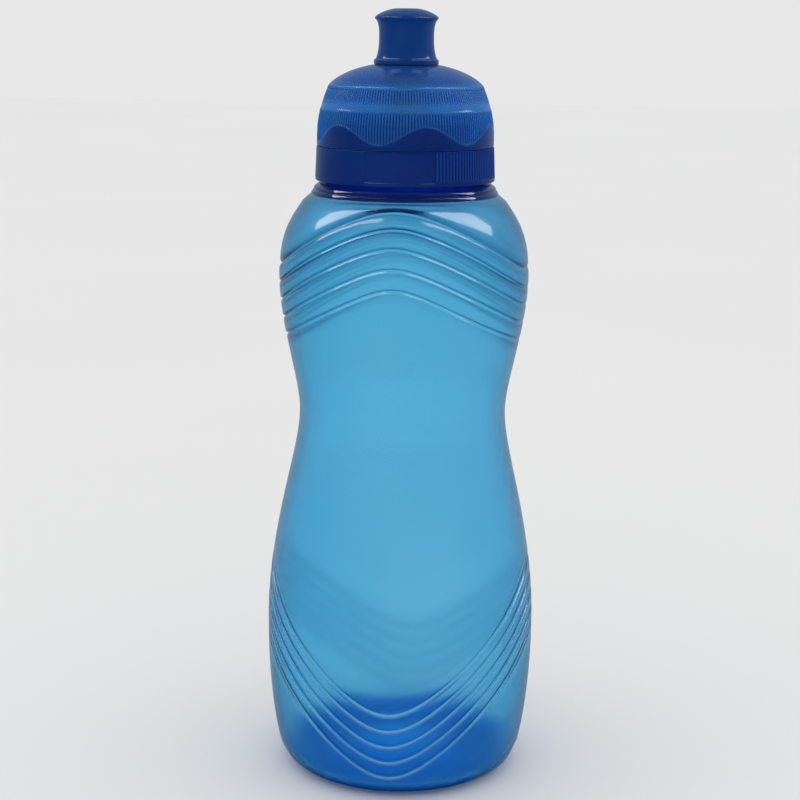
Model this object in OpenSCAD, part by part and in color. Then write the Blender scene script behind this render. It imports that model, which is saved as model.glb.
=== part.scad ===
// Squeeze bottle with a screw cap, a domed cover and a push-pull drinking nozzle.
// Millimetres, +Z up. The origin is the centre of the ring that the bottle stands on.

/* [Bottle] */
// Diameter of the lower bulge, the widest part of the bottle
belly_d = 75.4; // [73:0.2:78]
// Diameter of the waist that the hand grips
waist_d = 57.4; // [55:0.2:60]
// Diameter of the upper bulge
chest_d = 68.6; // [66:0.2:71]
// Thickness of the blown wall
wall_t = 1.2; // [0.9:0.1:1.4]
// Height of the domed push-up in the middle of the base
push_up = 5; // [3:0.5:7]

/* [Neck and thread] */
// Diameter of the neck at the root of its thread
neck_d = 40.8; // [40.6:0.1:40.9]
// Diameter of the mouth
mouth_d = 37.2; // [36.2:0.2:37.8]
// Rise of the thread in one turn
thread_pitch = 4; // [3.8:0.1:4.2]
// How far a thread ridge stands out
thread_depth = 1.1; // [0.9:0.1:1.1]

/* [Cap] */
// Diameter of the cap's grip band
band_d = 49; // [48.8:0.1:49.4]
// Diameter of the bore inside the cap's skirt
cap_bore_d = 43.6; // [43.5:0.1:43.7]
// Diameter of the spout tube that the nozzle slides on
spout_d = 12.1; // [12:0.1:12.3]
// Diameter of the pin that plugs the nozzle
pin_d = 4.7; // [4.4:0.1:4.9]

/* [Nozzle] */
// How far the nozzle pulls up
nozzle_travel = 5; // [4:0.25:5]
// Running clearance between the nozzle and the spout, on radius
slide_gap = 0.05; // [0.03:0.01:0.1]

/* [Hidden] */
$fn = 96;

belly_r = belly_d / 2;
waist_r = waist_d / 2;
chest_r = chest_d / 2;
neck_r = neck_d / 2;
mouth_r = mouth_d / 2;
band_r = band_d / 2;
cap_bore_r = cap_bore_d / 2;
spout_r = spout_d / 2;
pin_r = pin_d / 2;

// Heights of the body's main stations
heel_z = 8;
belly_z = 40;
waist_z = 103;
chest_z = 141;
shoulder_z = 161;
neck_z = 166.2;
lip_z = 180;
lip_chamfer = 0.4;

// Base: a flat standing ring between two radii
stand_in_r = 21;
stand_out_r = 24.5;
heel_r = belly_r - 2.8;
shoulder_r = chest_r - 6.5;

// Cap heights
band_z = 166.6;
drum_z = 175.8;
gasket_t = 1.2;
ceiling_z = lip_z + gasket_t;
drum_top_z = ceiling_z + 1.4;
drum_r = band_r - 1.6;
drum_taper = 0.9;
drum_taper_z = 180.2;
snap_h = 0.25;
snap_z = 177.4;
snap_w = 1;

// Dome cover
dome_fit = 0.07;
dome_gap = 0.15;
dome_wall = 1;
dome_top_z = 197.4;
dome_hole_r = spout_r + 0.1;

// Spout, bead and pin
spout_bore_r = spout_r - 1.2;
spout_root_r = 9;
spout_root_h = 3.4;
bead_h = 0.4;
bead_w = 1.3;
nozzle_z = 197.5;
lip_w = 1.8;
nozzle_lip_z = nozzle_z + lip_w;
bead_z = nozzle_lip_z + nozzle_travel + slide_gap;
spout_top_z = bead_z + bead_w;
spoke_h = 2.8;
spoke_w = 1.4;
stem_r = pin_r - 0.65;
pin_z = 207.8;
pin_top_z = 211.7;
pin_chamfer = 0.4;

// Nozzle
nozzle_bore_r = spout_r + bead_h + slide_gap;
nozzle_lip_r = spout_r + slide_gap;
nozzle_hole_r = pin_r + slide_gap;
nozzle_roof_z = 208;
nozzle_top_z = 212.3;

// Thread: both ridges lie on one helix, half a pitch apart
thread_base_w = 2;
thread_crest_w = 0.9;
thread_sink = 0.2;
thread_step = 10;
thread_taper = 40;
neck_thread_z = 168.6;
neck_thread_end = 630;
cap_thread_start = 140;
cap_thread_end = 660;

// Points of a cubic curve from p0 towards p3, without its last point
function curve(p0, p1, p2, p3, steps) = [
    for (i = [0 : steps - 1])
        let (t = i / steps, s = 1 - t)
        s * s * s * p0 + 3 * s * s * t * p1 + 3 * s * t * t * p2 + t * t * t * p3
];

// A line moved sideways by a depth, to the left of its direction
function beside(line, depth) = [
    for (i = [0 : len(line) - 1])
        let (
            back = line[max(i - 1, 0)],
            ahead = line[min(i + 1, len(line) - 1)],
            along = (ahead - back) / norm(ahead - back)
        )
        line[i] + depth * [-along[1], along[0]]
];

function backwards(line) = [for (i = [len(line) - 1 : -1 : 0]) line[i]];

// Outer line of the blown body, from the middle of the base up to the shoulder
body_line = concat(
    curve([0, push_up], [9, push_up], [16, 0], [stand_in_r, 0], 8),
    [[stand_in_r, 0]],
    curve([stand_out_r, 0], [32.7, 0], [heel_r - 0.9, 4], [heel_r, heel_z], 9),
    curve([heel_r, heel_z], [heel_r + 0.9, 12], [belly_r, 24], [belly_r, belly_z], 8),
    curve([belly_r, belly_z], [belly_r, 70], [waist_r, 90], [waist_r, waist_z], 16),
    curve([waist_r, waist_z], [waist_r, 111.3], [chest_r, 126.6], [chest_r, chest_z], 12),
    curve([chest_r, chest_z], [chest_r, 151], [shoulder_r + 4.2, 155.1],
        [shoulder_r, shoulder_z], 8),
    [[shoulder_r, shoulder_z]]
);

// Two beads round the neck under the cap, the lower one wider
neck_ring = [
    [25.9, 162.6], [25.35, 163], [25.5, 163.5], [24.8, 164.1], [24.85, 164.7], [24.2, 165.4],
    [23.6, 165.8]
];

// Side and crown of the domed cover, on its outer face
dome_side = curve([24, 181], [23.6, 184.6], [22.7, 188.4], [21, 191.9], 7);
dome_crown = curve([21, 191.9], [19.4, 193.9], [15.4, 196.3], [9.2, dome_top_z], 8);

// Outer line of the domed cover, from its lower edge to the nozzle
dome_line = concat(
    [[24.1, drum_z + dome_gap]],
    dome_side,
    dome_crown,
    [[9.2, dome_top_z]]
);

// Outer line of the nozzle, from its flange to the rounded mouthpiece
nozzle_line = concat(
    [[8.5, nozzle_z], [8.75, nozzle_z + 0.3], [8.75, nozzle_z + 1], [8.5, nozzle_z + 1.3]],
    curve([8.3, 199.1], [7.75, 200.1], [7.4, 202], [7.4, 204.5], 7),
    curve([7.4, 204.5], [7.35, 207.4], [7.7, 208.8], [8.35, 209.4], 7),
    curve([8.55, 209.75], [7.9, 210.5], [5.4, 211.8], [nozzle_hole_r, nozzle_top_z], 7)
);

// A thread ridge wound on a wall of radius wall_r. A positive depth stands outwards.
module thread_ridge(wall_r, depth, helix_z, start, end) {
    rings = round((end - start) / thread_step);
    side = sign(depth);
    points = [
        for (i = [0 : rings])
            let (
                a = start + i * thread_step,
                z = helix_z + thread_pitch * a / 360,
                fade = min(1, (a - start) / thread_taper, (end - a) / thread_taper),
                crest_r = wall_r + depth * fade,
                foot_r = wall_r - side * thread_sink
            )
            for (corner = [
                [foot_r, -thread_base_w / 2],
                [crest_r, -thread_crest_w / 2],
                [crest_r, thread_crest_w / 2],
                [foot_r, thread_base_w / 2]
            ])
                [corner[0] * cos(a), corner[0] * sin(a), z + corner[1]]
    ];
    walls = [
        for (i = [0 : rings - 1])
            for (k = [0 : 3])
                let (p = 4 * i + k, q = 4 * i + (k + 1) % 4)
                each [[p, q, q + 4], [p, q + 4, p + 4]]
    ];
    last = 4 * rings;
    ends = [[2, 1, 0], [3, 2, 0], [last, last + 1, last + 2], [last, last + 2, last + 3]];
    faces = concat(walls, ends);
    polyhedron(points, side > 0 ? faces : [for (f = faces) [f[2], f[1], f[0]]]);
}

// Blown body with its shoulder, support ring, threaded neck and pushed-up base
module bottle_body() {
    inner_line = beside(body_line, wall_t);
    color([0.29, 0.63, 0.84, 0.6]) {
        rotate_extrude()
            polygon(concat(
                body_line,
                neck_ring,
                [
                    [neck_r, neck_z],
                    [neck_r, lip_z - lip_chamfer],
                    [neck_r - lip_chamfer, lip_z],
                    [mouth_r + lip_chamfer, lip_z],
                    [mouth_r, lip_z - lip_chamfer],
                    [mouth_r, neck_z - 0.7],
                    [mouth_r + 3.6, 163.2]
                ],
                backwards(inner_line)
            ));
        thread_ridge(neck_r, thread_depth, neck_thread_z, 0, neck_thread_end);
    }
}

// Soft ring squeezed between the neck's lip and the cap's ceiling
module cap_gasket() {
    color([0.85, 0.87, 0.88])
        translate([0, 0, lip_z])
            difference() {
                cylinder(h = gasket_t, r = cap_bore_r - 0.1);
                translate([0, 0, -1])
                    cylinder(h = gasket_t + 2, r = mouth_r + 0.3);
            }
}

// Moulded cap: grip band, drum under the dome, ceiling and spout tube
module cap_shell() {
    snap_r = drum_r + snap_h;
    rotate_extrude()
        polygon([
            [cap_bore_r, band_z],
            [band_r - 0.3, band_z],
            [band_r, band_z + 0.3],
            [band_r - 0.3, drum_z],
            [drum_r, drum_z],
            [drum_r, snap_z],
            [snap_r, snap_z + snap_w / 2],
            [drum_r, snap_z + snap_w],
            [drum_r, drum_taper_z],
            [drum_r - drum_taper, drum_top_z],
            [spout_root_r, drum_top_z],
            [spout_r, drum_top_z + spout_root_h],
            [spout_r, bead_z],
            [spout_r + bead_h, bead_z + slide_gap],
            [spout_r + bead_h, spout_top_z - bead_h],
            [spout_r, spout_top_z],
            [spout_bore_r, spout_top_z],
            [spout_bore_r, ceiling_z],
            [cap_bore_r, ceiling_z]
        ]);
}

// Pin that plugs the nozzle's hole, held in the spout by three spokes
module seal_pin() {
    translate([0, 0, spout_top_z - spoke_h])
        cylinder(h = pin_z - spout_top_z + spoke_h + 0.5, r = stem_r);
    rotate_extrude()
        polygon([
            [0, pin_z],
            [pin_r - pin_chamfer, pin_z],
            [pin_r, pin_z + pin_chamfer],
            [pin_r, pin_top_z - pin_chamfer],
            [pin_r - pin_chamfer, pin_top_z],
            [0, pin_top_z]
        ]);
    for (a = [0 : 120 : 240])
        rotate([0, 0, a])
            translate([0, -spoke_w / 2, spout_top_z - spoke_h])
                cube([spout_bore_r + 0.3, spoke_w, spoke_h - 0.6]);
}

module screw_cap() {
    color([0.05, 0.17, 0.45]) {
        cap_shell();
        thread_ridge(cap_bore_r, -thread_depth, neck_thread_z - thread_pitch / 2,
            cap_thread_start, cap_thread_end);
        seal_pin();
    }
}

// Clear domed cover that snaps over the cap's drum
module dome_cover() {
    fit_r = drum_r + dome_fit;
    color([0.12, 0.37, 0.65, 0.7])
        rotate_extrude()
            polygon(concat(
                [[fit_r, drum_z + dome_gap]],
                dome_line,
                [[dome_hole_r, dome_top_z], [dome_hole_r, dome_top_z - 1.4]],
                [[9.2, dome_top_z - 1.1]],
                backwards(beside(dome_crown, dome_wall)),
                backwards(beside(dome_side, dome_wall)),
                [
                    [fit_r, snap_z + snap_w + dome_fit],
                    [fit_r + snap_h, snap_z + snap_w / 2],
                    [fit_r, snap_z - dome_fit]
                ]
            ));
}

// Push-pull mouthpiece that slides up the spout to open
module nozzle() {
    color([0.1, 0.3, 0.6])
        rotate_extrude()
            polygon(concat(
                [[nozzle_lip_r, nozzle_z]],
                nozzle_line,
                [
                    [nozzle_hole_r, nozzle_top_z],
                    [nozzle_hole_r, nozzle_roof_z],
                    [nozzle_bore_r, nozzle_roof_z],
                    [nozzle_bore_r, nozzle_lip_z],
                    [nozzle_lip_r, nozzle_lip_z]
                ]
            ));
}

bottle_body();
cap_gasket();
screw_cap();
dome_cover();
nozzle();
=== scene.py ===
"""Looks of a squeeze bottle with a screw cap, a domed cover and a push-pull nozzle.

Outlines are (radius, height) pairs in millimetres, run anticlockwise: up outside, down inside.
Angles are in degrees from the front (-Y) towards +X, but the threads' run from +X, as in the CAD.
"""

import math

import bpy
import numpy as np
from mathutils import Matrix, Vector


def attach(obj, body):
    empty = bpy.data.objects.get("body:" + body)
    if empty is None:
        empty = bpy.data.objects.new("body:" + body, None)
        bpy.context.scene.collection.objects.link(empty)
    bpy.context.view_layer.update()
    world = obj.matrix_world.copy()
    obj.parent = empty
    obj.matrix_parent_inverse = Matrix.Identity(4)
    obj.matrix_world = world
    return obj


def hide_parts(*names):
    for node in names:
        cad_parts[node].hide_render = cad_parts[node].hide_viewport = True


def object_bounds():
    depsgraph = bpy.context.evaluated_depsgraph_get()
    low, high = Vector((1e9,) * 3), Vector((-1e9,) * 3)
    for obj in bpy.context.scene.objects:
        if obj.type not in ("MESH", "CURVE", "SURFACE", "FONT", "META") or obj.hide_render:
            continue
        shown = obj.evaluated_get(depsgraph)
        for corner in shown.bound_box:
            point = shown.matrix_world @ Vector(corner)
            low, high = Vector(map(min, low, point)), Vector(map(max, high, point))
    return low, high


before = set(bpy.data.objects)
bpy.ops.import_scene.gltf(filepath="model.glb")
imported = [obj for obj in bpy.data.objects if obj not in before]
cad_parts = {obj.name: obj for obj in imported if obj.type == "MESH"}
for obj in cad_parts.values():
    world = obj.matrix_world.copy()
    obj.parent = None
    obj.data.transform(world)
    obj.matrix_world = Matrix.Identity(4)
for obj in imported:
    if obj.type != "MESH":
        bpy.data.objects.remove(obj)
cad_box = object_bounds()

MM = 0.001

# Body stations, the same as the CAD's
BELLY_R, WAIST_R, CHEST_R = 37.7, 28.7, 34.3
HEEL_R, SHOULDER_R = BELLY_R - 2.8, CHEST_R - 6.5
HEEL_Z, BELLY_Z, WAIST_Z, CHEST_Z, SHOULDER_Z = 8, 40, 103, 141, 161
STAND_IN_R, STAND_OUT_R = 21.0, 24.5
PUSH_UP = 5.0
WALL = 1.2
SHOULDER_TOP = (25.9, 162.6)
NECK_R, MOUTH_R, LIP_Z = 20.4, 18.6, 180.0

# Two beads round the neck under the cap: radius, height and fillet of each corner
BEADS = (
    (25.4, 162.8, 0.1), (25.58, 163.17, 0.12), (25.26, 163.76, 0.08),
    (24.75, 164.05, 0.15), (24.95, 164.4, 0.12), (24.66, 164.94, 0.08), (24.1, 165.3, 0.2),
    (23.6, 165.8, 0.3),
)

# The mesh is kept this narrow, to stay inside the box of the CAD's faceted body
WIDEST_R = 37.67

# Ribs: two groups of five lines, the same at the front and the back
UPPER_PEAK_Z = (160.8, 156.5, 151.6, 146.4, 141.0)
UPPER_SIDE_Z = (143.3, 138.2, 133.4, 128.5, 123.8)
LOWER_TROUGH_Z = 25.7
LOWER_STEP = 4.75
LOWER_RISE = 35.8
LINES = 5

# Tilts of the facets under the lines, lowest line first. The topmost line has a round groove.
UPPER_FACETS = (38, 31, 24, 12)
LOWER_FACETS = (42,) * LINES

# Cap
BAND_R, BAND_Z, SEAM_Z = 24.5, 166.6, 175.8
CAP_BORE_R = 21.8
DRUM_R = BAND_R - 1.6
CEILING_Z = 181.2
DRUM_TOP_Z = 182.6
DOME_TOP_Z = 197.4
NOZZLE_Z = 197.5
NOZZLE_TOP_Z = 212.3
SPOUT_R, SPOUT_BORE_R = 6.05, 4.85
GRIP_RIBS = 156
FLUTES = 184

# Thread, one helix for the neck's ridge and the cap's, each from a start to an end angle
PITCH = 4.0
THREAD_DEPTH = 1.1
NECK_THREAD_Z = 168.6
NECK_THREAD_TURN = (0, 630)
CAP_THREAD_TURN = (140, 660)

# Mesh columns round the axis
BODY_COLUMNS, CORE_COLUMNS, PIN_COLUMNS, NOZZLE_COLUMNS = 300, 160, 64, 144
COLUMNS_PER_RIB = 8

# Strips of light: width in metres, and radiance
STRIP_WIDTH, STRIP_RADIANCE = 0.2, 6.0


# ---------------------------------------------------------------- outlines

def bezier(p0, p1, p2, p3, steps=24):
    """Points of a cubic curve, with both ends."""
    t = np.linspace(0, 1, steps)[:, None]
    p0, p1, p2, p3 = (np.array(p, float) for p in (p0, p1, p2, p3))
    return (1 - t) ** 3 * p0 + 3 * (1 - t) ** 2 * t * p1 + 3 * (1 - t) * t * t * p2 + t ** 3 * p3


def chain(*lines):
    """Joins outlines end to end and drops repeated points."""
    points = np.vstack([np.array(line, float) for line in lines])
    keep = np.ones(len(points), bool)
    keep[1:] = np.linalg.norm(np.diff(points, axis=0), axis=1) > 1e-4
    return points[keep]


def filleted(corners, closed=True, steps=4):
    """Rounds the corners of an outline. Each corner is (radius, height, fillet radius)."""
    made = []
    count = len(corners)
    for i, (x, z, fillet) in enumerate(corners):
        here = np.array((x, z), float)
        if fillet <= 0 or (not closed and i in (0, count - 1)):
            made.append(here)
            continue
        back = np.array(corners[i - 1][:2], float) - here
        ahead = np.array(corners[(i + 1) % count][:2], float) - here
        back_len, ahead_len = np.linalg.norm(back), np.linalg.norm(ahead)
        back, ahead = back / back_len, ahead / ahead_len
        half = math.acos(float(np.clip(back @ ahead, -1, 1))) / 2
        reach = min(fillet / math.tan(half), 0.49 * back_len, 0.49 * ahead_len)
        start, end = here + back * reach, here + ahead * reach
        for t in np.linspace(0, 1, steps + 1):
            made.append((1 - t) ** 2 * start + 2 * (1 - t) * t * here + t * t * end)
    return np.array(made)


def smooth(low, high, x):
    """0 at low, 1 at high, which may be the smaller of the two, with soft ends."""
    t = np.clip((x - low) / (high - low), 0, 1)
    return t * t * (3 - 2 * t)


def from_front(angle):
    """Signed angle from the front, -180 to 180 degrees."""
    return (angle + 180) % 360 - 180


# ---------------------------------------------------------------- meshes

def columns(count):
    """Angles of a mesh's columns."""
    return np.arange(count) * 360.0 / count


def lathe(name, radius, height, material, closed=False, poles=(False, False), **shares):
    """Mesh of rows x columns round the axis. The first or last row may be a pole, one point.

    Each of shares is a number for each point, from 0 to 1, that the material reads.
    """
    rows, count = radius.shape
    angle = np.radians(columns(count))
    points = np.stack((radius * np.sin(angle), -radius * np.cos(angle), height), -1) * MM
    index = np.arange(rows * count).reshape(rows, count)
    first, last = (1 if poles[0] else 0), (rows - 1 if poles[1] else rows)
    verts = points[first:last].reshape(-1, 3)
    index = index[first:last] - first * count
    lower = index if closed else index[:-1]
    upper = np.roll(index, -1, axis=0) if closed else index[1:]
    quads = np.stack(
        (lower, np.roll(lower, -1, axis=1), np.roll(upper, -1, axis=1), upper), -1
    ).reshape(-1, 4)
    faces = quads.tolist()
    verts = verts.tolist()
    if poles[0]:
        verts.append((0, 0, float(height[0, 0]) * MM))
        ring = index[0]
        faces += [(len(verts) - 1, int(b), int(a)) for a, b in zip(ring, np.roll(ring, -1))]
    if poles[1]:
        verts.append((0, 0, float(height[-1, 0]) * MM))
        ring = index[-1]
        faces += [(len(verts) - 1, int(a), int(b)) for a, b in zip(ring, np.roll(ring, -1))]
    piece = mesh_object(name, verts, faces, material)
    for share, values in shares.items():
        ends = [float(values[0, 0])] * poles[0] + [float(values[-1, 0])] * poles[1]
        layer = piece.data.attributes.new(share, "FLOAT", "POINT")
        layer.data.foreach_set("value", values[first:last].reshape(-1).tolist() + ends)
    return piece


def mesh_object(name, verts, faces, material):
    mesh = bpy.data.meshes.new(name)
    mesh.from_pydata(verts, [], faces)
    mesh.validate()
    mesh.update()
    mesh.shade_smooth()
    mesh.materials.append(material)
    piece = bpy.data.objects.new(name, mesh)
    bpy.context.scene.collection.objects.link(piece)
    return piece


def rings(outline, count):
    """Radius and height of an outline's points, rows x columns."""
    return np.repeat(outline[:, :1], count, axis=1), np.repeat(outline[:, 1:], count, axis=1)


def helix_ridge(name, wall_r, depth, base_z, turn, material):
    """A rounded thread ridge on a wall. A positive depth stands outwards."""
    half_foot, half_crest, crest_fillet, sink, step, taper = 1.0, 0.45, 0.25, 0.15, 3.0, 40.0
    start, end = turn
    angles = np.arange(start, end + step / 2, step)
    section = filleted(
        [(0, -half_foot, 0), (1, -half_crest, crest_fillet), (1, half_crest, crest_fillet),
         (0, half_foot, 0)],
        closed=False, steps=3,
    )
    section = np.vstack(([[-sink / abs(depth), -half_foot]], section,
                         [[-sink / abs(depth), half_foot]]))
    if depth < 0:
        section = section[::-1]
    verts, faces, n = [], [], len(section)
    for a in angles:
        fade = min(1, (a - start) / taper, (end - a) / taper)
        fade = math.sin(fade * math.pi / 2)
        around = math.radians(a)
        for out, up in section:
            r = wall_r + depth * (out * fade if out > 0 else out)
            z = base_z + PITCH * a / 360 + up
            verts.append((r * math.cos(around) * MM, r * math.sin(around) * MM, z * MM))
    for i in range(len(angles) - 1):
        for k in range(n):
            a, b = i * n + k, i * n + (k + 1) % n
            faces.append((a, a + n, b + n, b))
    tail = (len(angles) - 1) * n
    faces.append(tuple(range(n)))
    faces.append(tuple(reversed(range(tail, tail + n))))
    return mesh_object(name, verts, faces, material)


# ---------------------------------------------------------------- materials

def node_material(name):
    material = bpy.data.materials.new(name)
    material.use_nodes = True
    shader = material.node_tree.nodes["Principled BSDF"]
    return material, material.node_tree, shader


def noise(tree, scale, detail, stretch=(1, 1, 1)):
    """Noise in the object's own coordinates."""
    place = tree.nodes.new("ShaderNodeTexCoord")
    mapping = tree.nodes.new("ShaderNodeMapping")
    mapping.inputs["Scale"].default_value = stretch
    texture = tree.nodes.new("ShaderNodeTexNoise")
    texture.inputs["Scale"].default_value = scale
    texture.inputs["Detail"].default_value = detail
    tree.links.new(place.outputs["Object"], mapping.inputs["Vector"])
    tree.links.new(mapping.outputs["Vector"], texture.inputs["Vector"])
    return texture.outputs["Fac"]


def spread(tree, value, low, high, from_low=0.3, from_high=0.7):
    """Maps a value's middle range onto low..high."""
    remap = tree.nodes.new("ShaderNodeMapRange")
    remap.inputs["From Min"].default_value = from_low
    remap.inputs["From Max"].default_value = from_high
    remap.inputs["To Min"].default_value = low
    remap.inputs["To Max"].default_value = high
    tree.links.new(value, remap.inputs["Value"])
    return remap.outputs["Result"]


def scaled(tree, share, low, high):
    """Maps a share, 0 to 1, onto low..high."""
    return spread(tree, share, low, high, 0, 1)


def joined(tree, operation, first, second):
    """Product or maximum of two sockets, kept within 0 to 1."""
    node = tree.nodes.new("ShaderNodeMath")
    node.operation = operation
    node.use_clamp = True
    tree.links.new(first, node.inputs[0])
    tree.links.new(second, node.inputs[1])
    return node.outputs["Value"]


def stored(tree, share):
    """A share stored on the mesh."""
    layer = tree.nodes.new("ShaderNodeAttribute")
    layer.attribute_name = share
    return layer.outputs["Fac"]


def mixed(tree, factor, first, second):
    """Colour mix. Each colour is a tuple or a socket."""
    mix = tree.nodes.new("ShaderNodeMix")
    mix.data_type = "RGBA"
    tree.links.new(factor, mix.inputs["Factor"])
    ports = [s for s in mix.inputs if s.type == "RGBA"]
    for socket, colour in zip(ports, (first, second)):
        if isinstance(colour, tuple):
            socket.default_value = (*colour, 1)
        else:
            tree.links.new(colour, socket)
    return [s for s in mix.outputs if s.type == "RGBA"][0]


def bumped(tree, shader, height, strength, distance):
    """Bump on a shader's normal, with distance in metres."""
    bump = tree.nodes.new("ShaderNodeBump")
    bump.inputs["Strength"].default_value = strength
    bump.inputs["Distance"].default_value = distance
    tree.links.new(height, bump.inputs["Height"])
    tree.links.new(bump.outputs["Normal"], shader.inputs["Normal"])


def height_share(tree, low, high):
    """0 at height low, 1 at height high, in millimetres up the object's axis."""
    place = tree.nodes.new("ShaderNodeTexCoord")
    split = tree.nodes.new("ShaderNodeSeparateXYZ")
    tree.links.new(place.outputs["Object"], split.inputs["Vector"])
    return spread(tree, split.outputs["Z"], 0, 1, low * MM, high * MM)


def body_plastic():
    """Clear blue blown wall: most of its colour is absorbed inside the plastic.

    It is milky at the lower rib lines, whose lighter tint is a painted highlight, at the base,
    which is darker towards its bottom with painted shade, and at the beads under the cap, whose
    dark navy is painted shade.
    """
    # The lines' tint is a painted highlight, and the neck's tint is painted shade under the cap
    line_highlight_tint, neck_shade_tint = (0.2, 0.86, 1.0), (0.018, 0.06, 0.42)
    line_highlight_milk, foot_milk, neck_shade_milk = 0.5, 0.85, 0.2
    material, tree, shader = node_material("body_plastic")
    relief, foot = stored(tree, "relief"), stored(tree, "foot")
    neck = height_share(tree, 162.6, 163.0)
    cloud = spread(tree, noise(tree, 16, 2, (1, 1, 0.6)), 0, 1)
    tint = mixed(tree, cloud, (0.595, 0.873, 0.963), (0.77, 0.918, 0.981))
    # Painted highlight: lighter cyan along the lower rib lines
    tint = mixed(tree, relief, tint, line_highlight_tint)
    # Painted shade: the base is darker towards its bottom, near the floor
    floor = mixed(tree, height_share(tree, 1.5, 6), (0.010, 0.28, 0.80), (0.022, 0.42, 0.97))
    tint = mixed(tree, foot, tint, floor)
    # Painted shade: dark navy on the neck and beads under the cap
    tree.links.new(mixed(tree, neck, tint, neck_shade_tint), shader.inputs["Base Color"])
    # Less clear at the lines' painted highlight, in the milky base and at the neck's painted shade
    milk_and_painted_light = joined(tree, "MAXIMUM", scaled(tree, relief, 0, line_highlight_milk),
                  scaled(tree, foot, 0, foot_milk))
    milk_and_painted_light = joined(tree, "MAXIMUM", milk_and_painted_light, scaled(tree, neck, 0, neck_shade_milk))
    tree.links.new(scaled(tree, milk_and_painted_light, 1, 0), shader.inputs["Transmission Weight"])
    rough = spread(tree, noise(tree, 160, 4), 0.17, 0.21)
    smoother_neck = scaled(tree, neck, 1, 0.4)
    tree.links.new(joined(tree, "MULTIPLY", rough, smoother_neck), shader.inputs["Roughness"])
    shader.inputs["IOR"].default_value = 1.40
    shader.inputs["Coat Weight"].default_value = 0.5
    shader.inputs["Coat Roughness"].default_value = 0.03
    bumped(tree, shader, noise(tree, 60, 2, (1, 1, 0.35)), 0.06, 0.0006)
    inside = tree.nodes.new("ShaderNodeVolumeAbsorption")
    inside.inputs["Color"].default_value = (0.032, 0.746, 0.968, 1)
    inside.inputs["Density"].default_value = 520
    tree.links.new(inside.outputs["Volume"], tree.nodes["Material Output"].inputs["Volume"])
    return material


def dome_plastic():
    """Milky blue cover with painted shade: darker over the drum, at its crown, in the valleys of
    its flutes and at its border.
    """
    material, tree, shader = node_material("dome_plastic")
    above = height_share(tree, 181.5, 186.5)
    cloud = spread(tree, noise(tree, 60, 3), 0, 1)
    # Painted shade: darker below, over the drum
    crest = mixed(tree, above, mixed(tree, cloud, (0.022, 0.31, 0.90), (0.032, 0.36, 0.96)),
                  mixed(tree, cloud, (0.065, 0.41, 0.93), (0.09, 0.46, 0.98)))
    # Painted shade: a darker crown
    crown = height_share(tree, 191.5, 193.5)
    crest = mixed(tree, crown, crest, (0.035, 0.22, 0.66))
    # Painted shade for the flutes' valleys and the border
    shaded_valley = mixed(tree, above, (0.004, 0.07, 0.39), (0.006, 0.10, 0.44))
    tree.links.new(mixed(tree, stored(tree, "relief"), crest, shaded_valley), shader.inputs["Base Color"])
    tree.links.new(spread(tree, noise(tree, 300, 4), 0.16, 0.22), shader.inputs["Roughness"])
    shader.inputs["Transmission Weight"].default_value = 0.76
    shader.inputs["IOR"].default_value = 1.46
    shader.inputs["Specular IOR Level"].default_value = 0.35
    bumped(tree, shader, noise(tree, 120, 2), 0.03, 0.0004)
    return material


def moulded_plastic(name, dark, light, rough_low, rough_high, gloss):
    """Satin plastic, with painted shade in the valleys of its ribs and a painted highlight on
    their crests.
    """
    valley_shade, crest_highlight = 0.2, 1.5
    material, tree, shader = node_material(name)
    tint = mixed(tree, spread(tree, noise(tree, 90, 4), 0, 1), dark, light)
    # Painted shade in the ribs' valleys, painted highlight on their crests
    tint = mixed(tree, stored(tree, "relief"), tint, tuple(valley_shade * c for c in dark))
    tint = mixed(tree, stored(tree, "crest"), tint, tuple(crest_highlight * c for c in light))
    tree.links.new(tint, shader.inputs["Base Color"])
    tree.links.new(spread(tree, noise(tree, 260, 5), rough_low, rough_high),
                   shader.inputs["Roughness"])
    shader.inputs["Specular IOR Level"].default_value = gloss
    bumped(tree, shader, noise(tree, 700, 3), 0.05, 0.0002)
    return material


def gasket_rubber():
    """Matte pale grey rubber."""
    material, tree, shader = node_material("gasket_rubber")
    tint = mixed(tree, spread(tree, noise(tree, 200, 3), 0, 1),
                 (0.52, 0.55, 0.58), (0.6, 0.63, 0.66))
    tree.links.new(tint, shader.inputs["Base Color"])
    tree.links.new(spread(tree, noise(tree, 500, 3), 0.5, 0.65), shader.inputs["Roughness"])
    bumped(tree, shader, noise(tree, 900, 3), 0.1, 0.0002)
    return material


BODY = body_plastic()
DOME = dome_plastic()
CAP = moulded_plastic(
    "cap_plastic", dark=(0.001, 0.018, 0.135), light=(0.002, 0.024, 0.165),
    rough_low=0.17, rough_high=0.24, gloss=0.22,
)
NOZZLE = moulded_plastic(
    "nozzle_plastic", dark=(0.001, 0.035, 0.18), light=(0.002, 0.044, 0.225),
    rough_low=0.13, rough_high=0.19, gloss=0.5,
)


# ---------------------------------------------------------------- bottle

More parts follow.
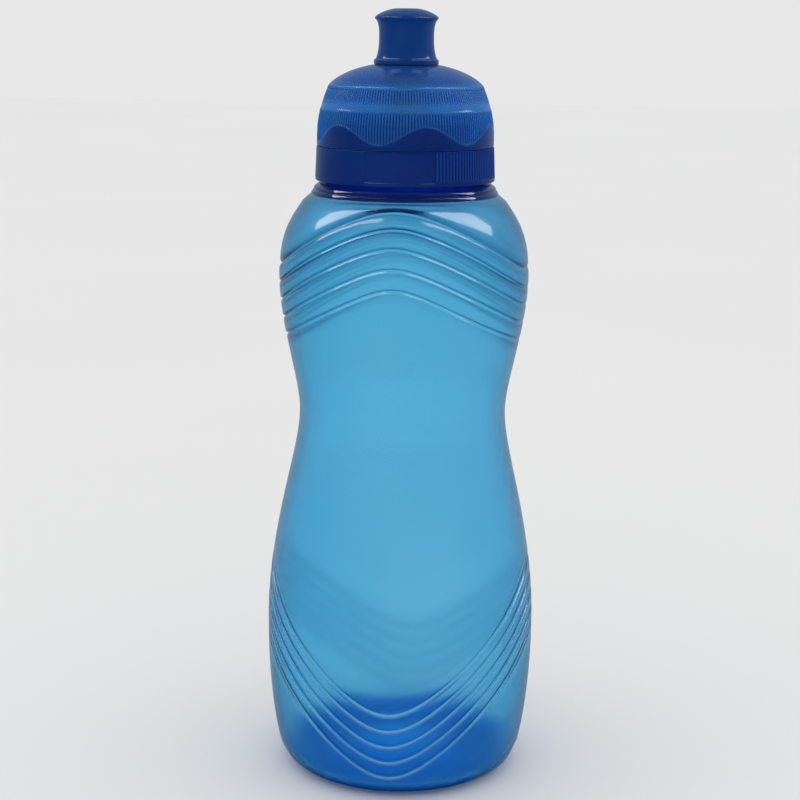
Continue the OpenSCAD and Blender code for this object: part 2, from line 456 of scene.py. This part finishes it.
class Meridian:
    """The body's outer line from the standing ring up to the neck, by arc length."""

    def __init__(self):
        self.line = chain(
            bezier((STAND_OUT_R, 0), (32.7, 0), (HEEL_R - 0.9, 4), (HEEL_R, HEEL_Z), 60),
            bezier((HEEL_R, HEEL_Z), (HEEL_R + 0.9, 12), (BELLY_R, 24), (BELLY_R, BELLY_Z), 60),
            bezier((BELLY_R, BELLY_Z), (BELLY_R, 70), (WAIST_R, 90), (WAIST_R, WAIST_Z), 90),
            bezier((WAIST_R, WAIST_Z), (WAIST_R, 111.3), (CHEST_R, 126.6), (CHEST_R, CHEST_Z),
                   60),
            bezier((CHEST_R, CHEST_Z), (CHEST_R, 151), (SHOULDER_R + 4.2, 155.1),
                   (SHOULDER_R, SHOULDER_Z), 60),
            [SHOULDER_TOP],
        )
        step = np.linalg.norm(np.diff(self.line, axis=0), axis=1)
        self.length = np.concatenate(([0], np.cumsum(step)))
        self.end = self.length[-1]
        along = np.gradient(self.line, self.length, axis=0)
        along /= np.linalg.norm(along, axis=1)[:, None]
        self.out = np.stack((along[:, 1], -along[:, 0]), -1)

    def at_height(self, height):
        """Arc length at a height."""
        return np.interp(height, self.line[:, 1], self.length)

    def point(self, s):
        """Radius and height at arc length s."""
        return (np.interp(s, self.length, self.line[:, 0]),
                np.interp(s, self.length, self.line[:, 1]))

    def outward(self, s):
        """Outward normal at arc length s, as (radius, height)."""
        return (np.interp(s, self.length, self.out[:, 0]),
                np.interp(s, self.length, self.out[:, 1]))


def upper_line_height(k, angle):
    """Height of upper rib line k, 0 at the top: a round arch above, a pointed one below."""
    blunt, hollow = 14.0, 1.7
    a = np.abs((angle + 90) % 180 - 90)
    round_fall = np.sin(np.radians(a)) ** 2
    share = (np.hypot(a, blunt) - blunt) / (math.hypot(90, blunt) - blunt)
    pointed_fall = 1 - (1 - share) ** hollow
    fall = round_fall + (pointed_fall - round_fall) * k / (LINES - 1)
    return UPPER_PEAK_Z[k] + (UPPER_SIDE_Z[k] - UPPER_PEAK_Z[k]) * fall


def lower_line_height(k, angle):
    """Height of lower rib line k, 0 at the top: a V with round bends."""
    bend = 0.86
    ends = math.acos(bend)
    share = (np.arccos(bend * np.cos(2 * np.radians(angle))) - ends) / (math.pi - 2 * ends)
    return LOWER_TROUGH_Z - LOWER_STEP * k + LOWER_RISE * share


def rib_lines(meridian, angle):
    """Arc lengths of all ten rib lines, from the lowest up, one row each."""
    lower = [meridian.at_height(lower_line_height(k, angle)) for k in reversed(range(LINES))]
    upper = [meridian.at_height(upper_line_height(k, angle)) for k in reversed(range(LINES))]
    return np.array(lower + upper)


def groove(s, lines, depth, above, below, power):
    """Depth of the notches at s, with lines one row per notch and a width for each side."""
    made = np.zeros_like(s)
    for line in lines:
        width = np.where(s > line, above, below)
        made = np.maximum(made, np.exp(-(np.abs(s - line) / width) ** power))
    return depth * made


def notch(s, lines, depth, tilts, facet):
    """Depth of sharp notches at s, one tilt in degrees per line.

    Each has a short steep wall and then a flat facet below its line, and a soft wall above.
    """
    steep, soft = 0.2, 0.42
    made = np.zeros_like(s)
    for line, tilt in zip(lines, tilts):
        down = line - s
        slope = math.tan(math.radians(tilt))
        below = slope * np.clip(steep + facet - down, 0, facet)
        below += (depth - slope * facet) * np.clip(1 - down / steep, 0, 1)
        made = np.maximum(made, np.where(down > 0, below, depth * smooth(-soft, 0, down)))
    return made


def lobes(s, lines, height):
    """Soft bulge between neighbouring lines."""
    made = np.zeros_like(s)
    for low, high in zip(lines[:-1], lines[1:]):
        share = np.clip((s - low) / (high - low), 0, 1)
        made = np.maximum(made, 1 - (2 * share - 1) ** 2)
    return height * made


def rib_rows(meridian, lines, offsets, between, count):
    """Arc lengths of mesh rows that follow the rib lines, rows x columns.

    Each line has a row at every offset, and between holds the number of rows in each gap.
    """
    reach = offsets[-1]
    knots = [np.zeros(count)] + list(lines) + [np.full(count, meridian.end)]
    rows = []
    for i, steps in enumerate(between):
        low = knots[i] + (reach if i > 0 else 0)
        high = knots[i + 1] - (reach if i < len(between) - 1 else 0)
        for t in np.linspace(0, 1, steps + 2)[(0 if i == 0 else 1):-1]:
            rows.append(low + (high - low) * t)
        if i < len(between) - 1:
            rows += [knots[i + 1] + d for d in offsets]
    rows.append(knots[-1])
    return np.array(rows)


def outer_wall(meridian, lines, count):
    """Radius and height of the ribbed outside, and the share of milky, lighter tint at the lower
    lines, a painted highlight.
    """
    offsets = (-1.0, -0.78, -0.66, -0.5, -0.34, -0.2, -0.06, 0.06, 0.22, 0.45, 1.0)
    between = (9, 2, 2, 2, 2, 34, 2, 2, 2, 2, 7)
    s = rib_rows(meridian, lines, offsets, between, count)
    lower, upper, top = lines[:LINES], lines[LINES:-1], lines[-1:]
    relief = (lobes(s, lines[LINES:], height=0.06)
              - groove(s, top, depth=0.68, above=0.6, below=0.5, power=1.5)
              - notch(s, upper, depth=0.55, tilts=UPPER_FACETS, facet=0.55)
              - notch(s, lower, depth=0.5, tilts=LOWER_FACETS, facet=0.4)
              + lobes(s, lower, height=0.08))
    (r, z), (out_r, out_z) = meridian.point(s), meridian.outward(s)
    # Share of the painted highlight along the lower lines
    milky = groove(s, lower, depth=1, above=0.3, below=0.34, power=1.6)
    return np.minimum(r + relief * out_r, WIDEST_R), z + relief * out_z, milky


def inner_wall(meridian, lines, count):
    """Radius and height of the inside, which follows the ribs softly."""
    offsets = (-1.0, -0.5, 0.0, 0.5, 1.0)
    between = (8, 1, 1, 1, 1, 24, 1, 1, 1, 1, 5)
    s = rib_rows(meridian, lines, offsets, between, count)
    lower, upper, top = lines[:LINES], lines[LINES:-1], lines[-1:]
    relief = (-groove(s, top, depth=0.4, above=0.8, below=0.8, power=1.8)
              - groove(s, upper, depth=0.48, above=0.5, below=0.66, power=1.5)
              - groove(s, lower, depth=0.25, above=0.5, below=0.6, power=1.8) - WALL)
    (r, z), (out_r, out_z) = meridian.point(s), meridian.outward(s)
    return r + relief * out_r, z + relief * out_z


def pushed_up_base(rise):
    """Outline of the base from the middle outwards, raised by rise."""
    middle = bezier((0, PUSH_UP + rise), (9, PUSH_UP + rise), (16, rise), (STAND_IN_R, rise), 14)
    return chain(middle, [(STAND_OUT_R - 0.4, rise)])


def bottle_body():
    """The blown bottle in one skin, base, outside, neck and inside, and its thread."""
    meridian = Meridian()
    count = BODY_COLUMNS
    lines = rib_lines(meridian, columns(count))
    outer_r, outer_z, milky = outer_wall(meridian, lines, count)
    inner_r, inner_z = inner_wall(meridian, lines, count)
    base, base_in = pushed_up_base(0), pushed_up_base(WALL)[::-1]
    neck = filleted([
        (*SHOULDER_TOP, 0), *BEADS, (NECK_R, 166.2, 0.3), (NECK_R, LIP_Z, 0.4),
        (MOUTH_R, LIP_Z, 0.4), (MOUTH_R, 165.5, 1.2), (22.2, 163.0, 1.5),
        (inner_r[-1, 0], inner_z[-1, 0], 0),
    ], closed=False, steps=3)[1:-1]
    parts = [rings(base, count), (outer_r, outer_z), rings(neck, count),
             (inner_r[::-1], inner_z[::-1]), rings(base_in, count)]
    radius, height = (np.vstack(part) for part in zip(*parts))
    relief, foot = np.zeros_like(radius), np.zeros_like(radius)
    # The lower rib lines carry their painted highlight
    relief[len(base):len(base) + len(milky)] = milky
    # The foot's share covers the inside of the base and fades out up the wall
    inside = len(radius) - len(inner_r) - len(base_in)
    foot[inside:] = smooth(5.4, 3.8, height[inside:])
    foot[-len(base_in):] = 1
    body = lathe("bottle", radius, height, BODY, poles=(True, True), relief=relief, foot=foot)
    thread = helix_ridge("neck_thread", NECK_R, THREAD_DEPTH, NECK_THREAD_Z, NECK_THREAD_TURN,
                         BODY)
    for piece in (body, thread):
        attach(piece, "bottle")
        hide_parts("bottle_body")


# ---------------------------------------------------------------- cap

def cap_band():
    """The grip band: a recessed panel in front, a raised panel to its left, ribs elsewhere."""
    panel_depth, rib_depth = 0.34, 0.42
    angle = columns(GRIP_RIBS * COLUMNS_PER_RIB)
    profile = filleted([
        (CAP_BORE_R, BAND_Z, 0.2), (BAND_R - 0.1, BAND_Z, 0.25), (BAND_R, BAND_Z + 0.9, 0.2),
        (BAND_R - 0.35, SEAM_Z, 0.25), (CAP_BORE_R, SEAM_Z, 0.05),
    ], steps=4)
    # More rows up the tall outer wall
    wall = np.linspace(0, 1, 22)[1:-1]
    corner = int(np.argmax(profile[:, 1] > BAND_Z + 1.5))
    low, high = profile[corner - 1], profile[corner]
    profile = np.vstack((profile[:corner], low + (high - low) * wall[:, None], profile[corner:]))
    radius, height = rings(profile, len(angle))
    front = from_front(angle)
    raised = smooth(-20.5, -21.3, front) * smooth(-156, -155, front)
    ribbed = smooth(23.5, 24.2, front) + smooth(-156, -157, front)
    wave = np.abs(np.cos(np.pi * angle / (360 / GRIP_RIBS))) ** 0.7
    sunk = panel_depth * (1 - raised) * (1 - ribbed) + ribbed * (rib_depth * (1 - wave))
    # The relief stops short of the band's lower and upper edges, and the ribs' more so below
    share = smooth(BAND_Z + 0.75, BAND_Z + 1.15, height)
    share = share * smooth(SEAM_Z - 0.12, SEAM_Z - 0.3, height)
    share = share * np.where(ribbed > 0.5, smooth(BAND_Z + 1.2, BAND_Z + 1.7, height), 1.0)
    share = np.where(radius > DRUM_R, share, 0)
    # The ribs' valleys carry painted shade and their crests a painted highlight
    return lathe("cap_band", radius - sunk * share, height, CAP, closed=True,
                 relief=ribbed * share * (1 - wave), crest=ribbed * share * wave)


def cap_core():
    """Drum under the dome, ceiling and spout tube with its stop bead."""
    bead_z = NOZZLE_Z + 6.85
    top_z, bead_r = bead_z + 1.3, SPOUT_R + 0.4
    outline = filleted([
        (CAP_BORE_R + 0.02, SEAM_Z - 0.6, 0), (DRUM_R, SEAM_Z - 0.6, 0), (DRUM_R, 177.4, 0),
        (DRUM_R + 0.22, 177.9, 0.2), (DRUM_R, 178.4, 0), (DRUM_R, 180.2, 0.5),
        (DRUM_R - 0.9, DRUM_TOP_Z, 0.4), (9, DRUM_TOP_Z, 1.2), (SPOUT_R, DRUM_TOP_Z + 3.4, 1.5),
        (SPOUT_R, bead_z, 0.1), (bead_r, bead_z + 0.1, 0.1), (bead_r, top_z - 0.4, 0.2),
        (SPOUT_R, top_z, 0.2), (SPOUT_BORE_R, top_z, 0.2), (SPOUT_BORE_R, CEILING_Z, 0.3),
        (CAP_BORE_R + 0.02, CEILING_Z, 0.4),
    ], steps=4)
    return lathe("cap_core", *rings(outline, CORE_COLUMNS), CAP, closed=True)


def seal_pin():
    """The pin that plugs the nozzle, on three spokes across the spout's bore."""
    pin_r, stem_r, foot_z, pin_z, top_z = 2.35, 1.7, NOZZLE_Z + 5.35, 207.8, 211.7
    spoke_w, spoke_h, spoke_fillet, spoke_from = 1.4, 2.2, 0.3, 1.2
    outline = filleted([
        (0, foot_z, 0), (stem_r, foot_z, 0.3), (stem_r, pin_z, 0.2), (pin_r, pin_z, 0.3),
        (pin_r, top_z, 0.5), (0, top_z, 0),
    ], closed=False, steps=4)
    pin = lathe("seal_pin", *rings(outline, PIN_COLUMNS), CAP, poles=(True, True))
    half, low, high = spoke_w / 2, foot_z, foot_z + spoke_h
    section = filleted([(y, z, spoke_fillet) for y, z in
                        ((-half, low), (half, low), (half, high), (-half, high))], steps=3)
    verts, faces, n = [], [], len(section)
    for turn in (0, 120, 240):
        rot = Matrix.Rotation(math.radians(turn), 3, "Z")
        start = len(verts)
        for x in (spoke_from, SPOUT_BORE_R + 0.2):
            verts += [tuple(rot @ Vector((x, y, z)) * MM) for y, z in section]
        for k in range(n):
            a, b = start + k, start + (k + 1) % n
            faces.append((a, b, b + n, a + n))
        faces.append(tuple(reversed(range(start, start + n))))
        faces.append(tuple(range(start + n, start + 2 * n)))
    spokes = mesh_object("pin_spokes", verts, faces, CAP)
    return pin, spokes


def screw_cap():
    """The dark moulding in five meshes. Its thread lies half a pitch from the neck's."""
    thread = helix_ridge("cap_thread", CAP_BORE_R, -THREAD_DEPTH, NECK_THREAD_Z - PITCH / 2,
                         CAP_THREAD_TURN, CAP)
    for piece in (cap_band(), cap_core(), thread, *seal_pin()):
        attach(piece, "cap")
        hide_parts("screw_cap")


def dome_cover():
    """Domed cover: two tiers of fine flutes above a smooth border with a wavy edge."""
    waves, wave_z, wave_h, wave_turn, rim_highlight_w = 6, 179.8, 2.4, 18, 0.22
    flute_depth, tier_two_depth, tier_one_depth = 0.2, 0.08, 0.18
    angle = columns(FLUTES * COLUMNS_PER_RIB)
    foot_z, top_z, fit_r = SEAM_Z + 0.15, DOME_TOP_Z, DRUM_R + 0.07
    side = bezier((24.02, 181), (23.65, 184.6), (22.75, 188.4), (21.2, 191.6), 40)
    crown = bezier((20.85, 192.1), (19.35, 193.85), (15.35, 196.25), (9.2, top_z), 14)
    skin = chain([(24.08, foot_z + 0.25)], [(24.05, 177.0)], side)
    length = np.concatenate(([0], np.cumsum(np.linalg.norm(np.diff(skin, axis=0), axis=1))))
    # Rows by arc length, closest along the wavy edge and at the ends of the tiers
    stops = np.concatenate((np.arange(0, 1.2, 0.4), np.arange(1.2, 7.2, 0.3),
                            np.arange(7.2, 9.0, 0.45), (9.0, 9.2, 9.4, 9.6, 9.8),
                            np.arange(10.4, length[-1] - 0.9, 0.9),
                            length[-1] + np.array((-0.8, -0.55, -0.35, -0.15))))
    skin = np.stack([np.interp(stops, length, skin[:, axis]) for axis in (0, 1)], -1)
    inner = chain(
        filleted([(9.2, top_z, 0), (SPOUT_R + 0.1, top_z, 0.2), (SPOUT_R + 0.1, top_z - 1.4, 0.2),
                  (9.2, top_z - 1.1, 0.4), (14.4, 195.1, 3), (19.9, 191.3, 1.5), (21.7, 187.9, 3),
                  (23.0, 181.2, 2), (fit_r, 178.5, 0.2), (fit_r + 0.22, 177.9, 0.1),
                  (fit_r, 177.3, 0.1), (fit_r, foot_z, 0.2), (23.9, foot_z, 0.1)],
                 closed=False, steps=3)[1:])
    radius, height = rings(chain(skin, crown, inner), len(angle))
    rows = len(skin)
    z = height[:rows]
    wave = wave_z + wave_h * np.cos(np.radians(waves * (angle - wave_turn)))
    flute = 0.5 - 0.5 * np.cos(2 * np.pi * angle * FLUTES / 360)
    border = smooth(0.12, -0.12, z - wave)
    tier_two = smooth(185.7, 185.4, z) * (1 - border)
    tier_one = smooth(187.2, 188.6, z) * smooth(191.6, 191.3, z)
    above = smooth(185.6, 186.1, z) * smooth(191.6, 191.3, z)
    radius[:rows] -= (flute_depth * flute * (tier_two + tier_one) + tier_two_depth * tier_two
                      + tier_one_depth * above)
    # Painted shade darkens the border and the flutes' valleys, and a painted highlight lightens
    # the border's wavy edge
    shaded_valley = np.zeros_like(radius)
    rim_highlight = np.exp(-((z - wave) / rim_highlight_w) ** 2)
    shaded_valley[:rows] = np.maximum(flute * (tier_two + tier_one), border) * (1 - 0.8 * rim_highlight)
    piece = lathe("dome", radius, height, DOME, closed=True, relief=shaded_valley)
    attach(piece, "cap")
    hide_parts("dome_cover")


def nozzle():
    """The mouthpiece: flange, hollow neck and rounded top with the drinking hole."""
    foot_z, top_z, hole_r, bore_r, lip_r, roof_z = NOZZLE_Z, NOZZLE_TOP_Z, 2.4, 6.5, 6.1, 208
    outline = chain(
        filleted([(lip_r, foot_z, 0.2), (8.75, foot_z, 0.35), (8.75, foot_z + 1.25, 0.3),
                  (8.3, foot_z + 1.5, 0)], closed=False, steps=5),
        bezier((8.3, 199.0), (7.75, 200.1), (7.4, 202.0), (7.4, 204.5), 14),
        bezier((7.4, 204.5), (7.35, 207.4), (7.7, 208.8), (8.35, 209.35), 16),
        bezier((8.35, 209.35), (8.7, 209.65), (8.62, 210.0), (8.2, 210.35), 12),
        bezier((8.2, 210.35), (7.3, 211.0), (5.2, 212.1), (hole_r + 0.4, top_z), 16),
        filleted([(hole_r + 0.4, top_z, 0), (hole_r, top_z - 0.4, 0.2), (hole_r, roof_z, 0.2),
                  (bore_r, roof_z, 0.5), (bore_r, foot_z + 1.8, 0.2), (lip_r, foot_z + 1.8, 0.2),
                  (lip_r, foot_z + 0.2, 0)], closed=False, steps=4),
    )
    piece = lathe("nozzle_shell", *rings(outline, NOZZLE_COLUMNS), NOZZLE, closed=True)
    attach(piece, "mouthpiece")
    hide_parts("nozzle")


# ---------------------------------------------------------------- studio

def studio_floor():
    """Pale paper just under the bottle, left out of reflections."""
    bpy.ops.mesh.primitive_plane_add(size=8, location=(0, 0, cad_box[0][2] - 0.0002))
    floor = bpy.context.object
    floor.name = "floor"
    material, tree, shader = node_material("floor_paper")
    tint = mixed(tree, spread(tree, noise(tree, 2.5, 2), 0, 1),
                 (0.80, 0.80, 0.80), (0.82, 0.82, 0.82))
    tree.links.new(tint, shader.inputs["Base Color"])
    shader.inputs["Roughness"].default_value = 0.9
    shader.inputs["Specular IOR Level"].default_value = 0.1
    floor.data.materials.append(material)
    floor.visible_glossy = False


def towards(turn, rise):
    """Unit vector from a turn round the axis and a rise above the floor, in degrees."""
    around, up = math.radians(turn), math.radians(rise)
    return Vector((math.sin(around) * math.cos(up), -math.cos(around) * math.cos(up),
                   math.sin(up)))


def strip_light(name, start, end):
    """A strip of light between two (turn, rise) directions. Only reflections show it."""
    aim, reach = Vector((0, 0, 0.16)), 1.1
    start, end = towards(*start), towards(*end)
    back = (start + end).normalized()
    along = (end - start).normalized()
    length = 2 * reach * math.tan(start.angle(end) / 2)
    light = bpy.data.lights.new(name, "AREA")
    light.shape = "RECTANGLE"
    light.size, light.size_y = length, STRIP_WIDTH
    light.energy = STRIP_RADIANCE * math.pi * length * STRIP_WIDTH
    lamp = bpy.data.objects.new(name, light)
    lamp.location = aim + back * reach
    lamp.rotation_mode = "QUATERNION"
    facing = Matrix((along, back.cross(along), back)).transposed()
    lamp.rotation_quaternion = facing.to_quaternion()
    lamp.visible_diffuse = False
    lamp.visible_transmission = False
    bpy.context.scene.collection.objects.link(lamp)


def backdrop(tree, colour, strength=1.0):
    """A background shader of one colour."""
    shader = tree.nodes.new("ShaderNodeBackground")
    shader.inputs["Color"].default_value = (*colour, 1)
    shader.inputs["Strength"].default_value = strength
    return shader


def studio_light():
    """A tent of light and two strips.

    The tent is pale grey where it is seen, white for diffuse light, darker in front for
    reflections, and brighter for light that passes through milky plastic.
    """
    white = (1, 1, 1)
    world = bpy.data.worlds.new("studio")
    world.use_nodes = True
    tree = world.node_tree
    tree.nodes.remove(tree.nodes["Background"])
    seen, lit = backdrop(tree, (0.807, 0.807, 0.807)), backdrop(tree, white, 1.03)
    mirrored, piped = backdrop(tree, (0.62, 0.82, 1)), backdrop(tree, white, 1.2)
    place = tree.nodes.new("ShaderNodeTexCoord")
    split = tree.nodes.new("ShaderNodeSeparateXYZ")
    tree.links.new(place.outputs["Generated"], split.inputs["Vector"])
    # Reflections get 0.05 from the front up to 0.45 from behind, and nothing from far below
    behind = spread(tree, split.outputs["Y"], 0.05, 0.45, -0.35, 0.8)
    above = spread(tree, split.outputs["Z"], 0, 1, -0.7, -0.3)
    tree.links.new(joined(tree, "MULTIPLY", behind, above), mirrored.inputs["Strength"])
    path = tree.nodes.new("ShaderNodeLightPath")
    inside = joined(tree, "MULTIPLY", path.outputs["Is Transmission Ray"],
                    path.outputs["Diffuse Depth"])
    result = seen.outputs[0]
    for share, shader in ((path.outputs["Is Diffuse Ray"], lit),
                          (path.outputs["Is Glossy Ray"], mirrored), (inside, piped)):
        mix = tree.nodes.new("ShaderNodeMixShader")
        tree.links.new(share, mix.inputs[0])
        tree.links.new(result, mix.inputs[1])
        tree.links.new(shader.outputs[0], mix.inputs[2])
        result = mix.outputs[0]
    tree.links.new(result, tree.nodes["World Output"].inputs["Surface"])
    bpy.context.scene.world = world
    bpy.context.scene.view_settings.view_transform = "Standard"
    strip_light("left_strip", (-30, 59), (-102, 26))
    strip_light("right_strip", (38, 59), (108, 26))


def studio_camera():
    """The photograph's view: level with the nozzle, a little to the right, looking down."""
    distance, eye_height, lens = 0.490, 0.210, 80.46
    turn, pitch, yaw, roll = 5.0, 12.09, 0.08, 0.65
    around = math.radians(turn)
    data = bpy.data.cameras.new("camera")
    data.sensor_width = 36
    data.lens = lens
    camera = bpy.data.objects.new("camera", data)
    camera.location = (distance * math.sin(around), -distance * math.cos(around), eye_height)
    camera.rotation_mode = "QUATERNION"
    look = Matrix.Rotation(around, 3, "Z") @ Matrix.Rotation(math.radians(90 - pitch), 3, "X")
    look = look @ Matrix.Rotation(math.radians(yaw), 3, "Y")
    look = look @ Matrix.Rotation(math.radians(roll), 3, "Z")
    camera.rotation_quaternion = look.to_quaternion()
    bpy.context.scene.collection.objects.link(camera)
    bpy.context.scene.camera = camera


def gasket_finish():
    """The CAD's gasket stays, with a better material."""
    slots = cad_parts["cap_gasket"].data.materials
    slots.clear()
    slots.append(gasket_rubber())


bottle_body()
screw_cap()
dome_cover()
nozzle()
gasket_finish()
studio_floor()
studio_light()
studio_camera()
